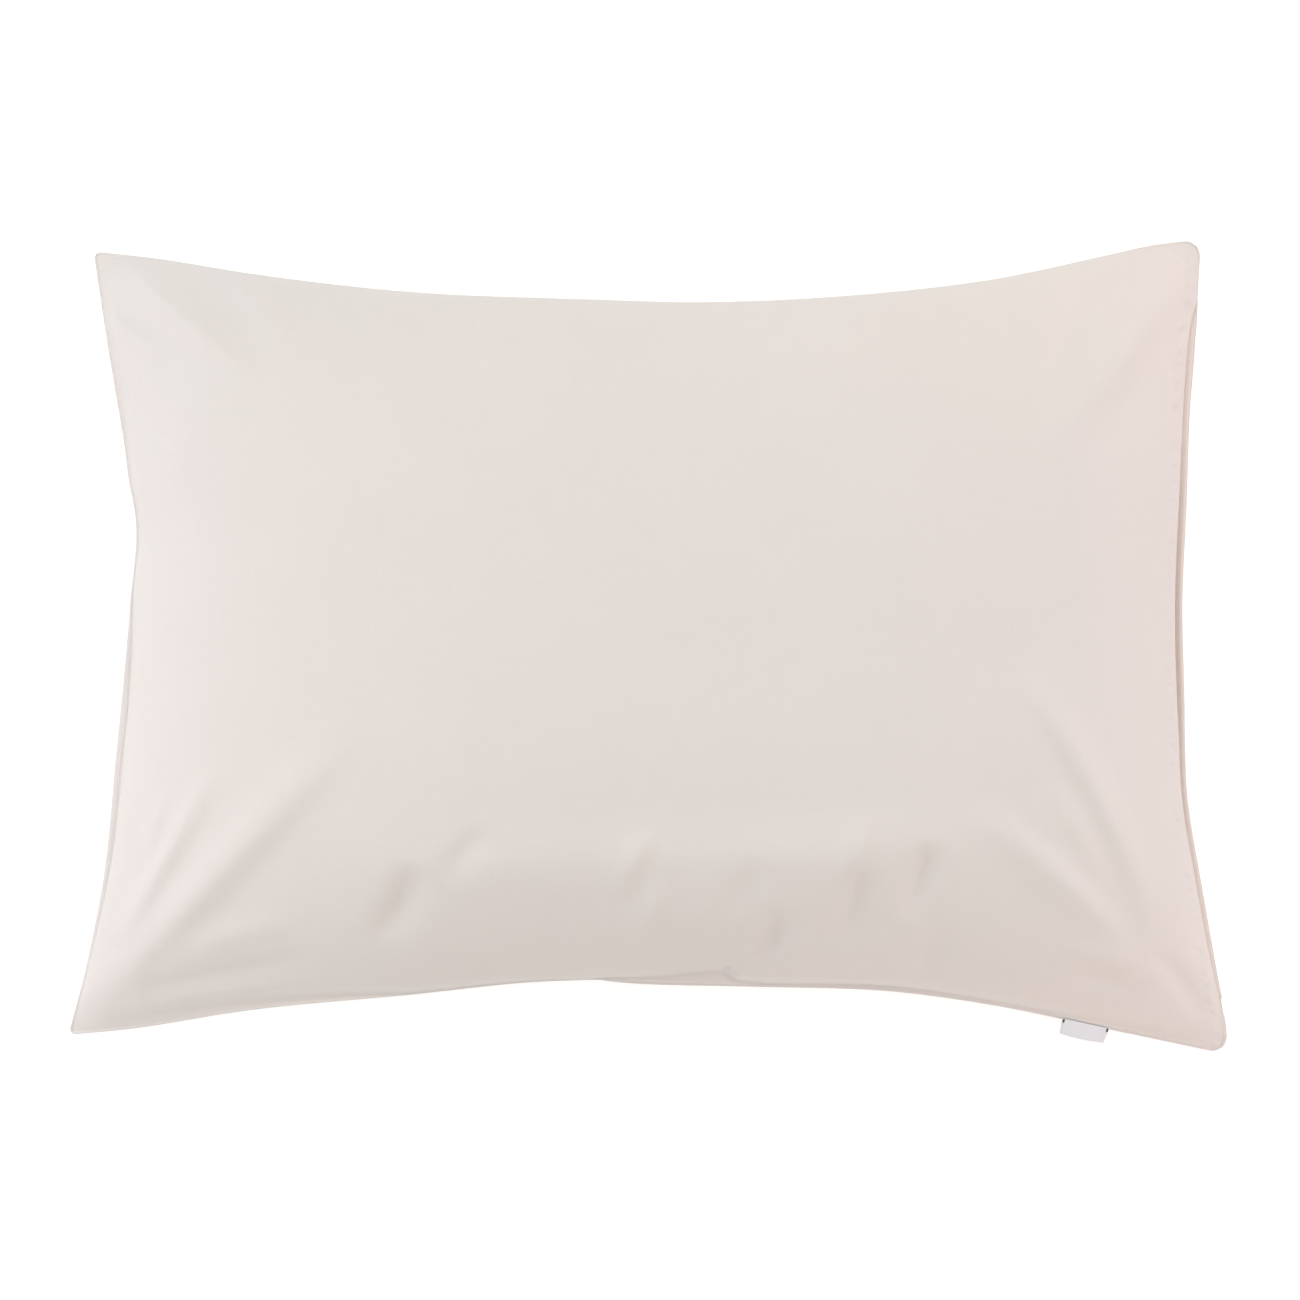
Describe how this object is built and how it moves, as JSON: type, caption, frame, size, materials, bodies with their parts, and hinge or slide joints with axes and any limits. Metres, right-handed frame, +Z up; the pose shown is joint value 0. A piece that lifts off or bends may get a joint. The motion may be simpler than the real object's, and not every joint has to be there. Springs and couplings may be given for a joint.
{
  "type": "filled pillowcase",
  "caption": "Plain cotton pillowcase on its soft rectangular pillow, with drawn-in sides, ear corners, an open hemmed end and a bare side label.",
  "frame": {"origin": "middle of the outline's box, at the level of the surface that the back panel rests on", "axes": "+X along the length to the open end, +Y across to the upper long side, +Z up out of the front panel"},
  "size_m": [0.6982, 0.4897, 0.145],
  "materials": {
    "cotton": "matt plain-weave cotton, warm ivory with a pink cast",
    "hem_cotton": "matt plain-weave cotton, folded double",
    "label_tape": "smooth woven tape, cool white, bare"
  },
  "bodies": {
    "root": {"filled_case": "cotton", "back_hem": "hem_cotton", "side_label": "label_tape"}
  },
  "joints": []
}
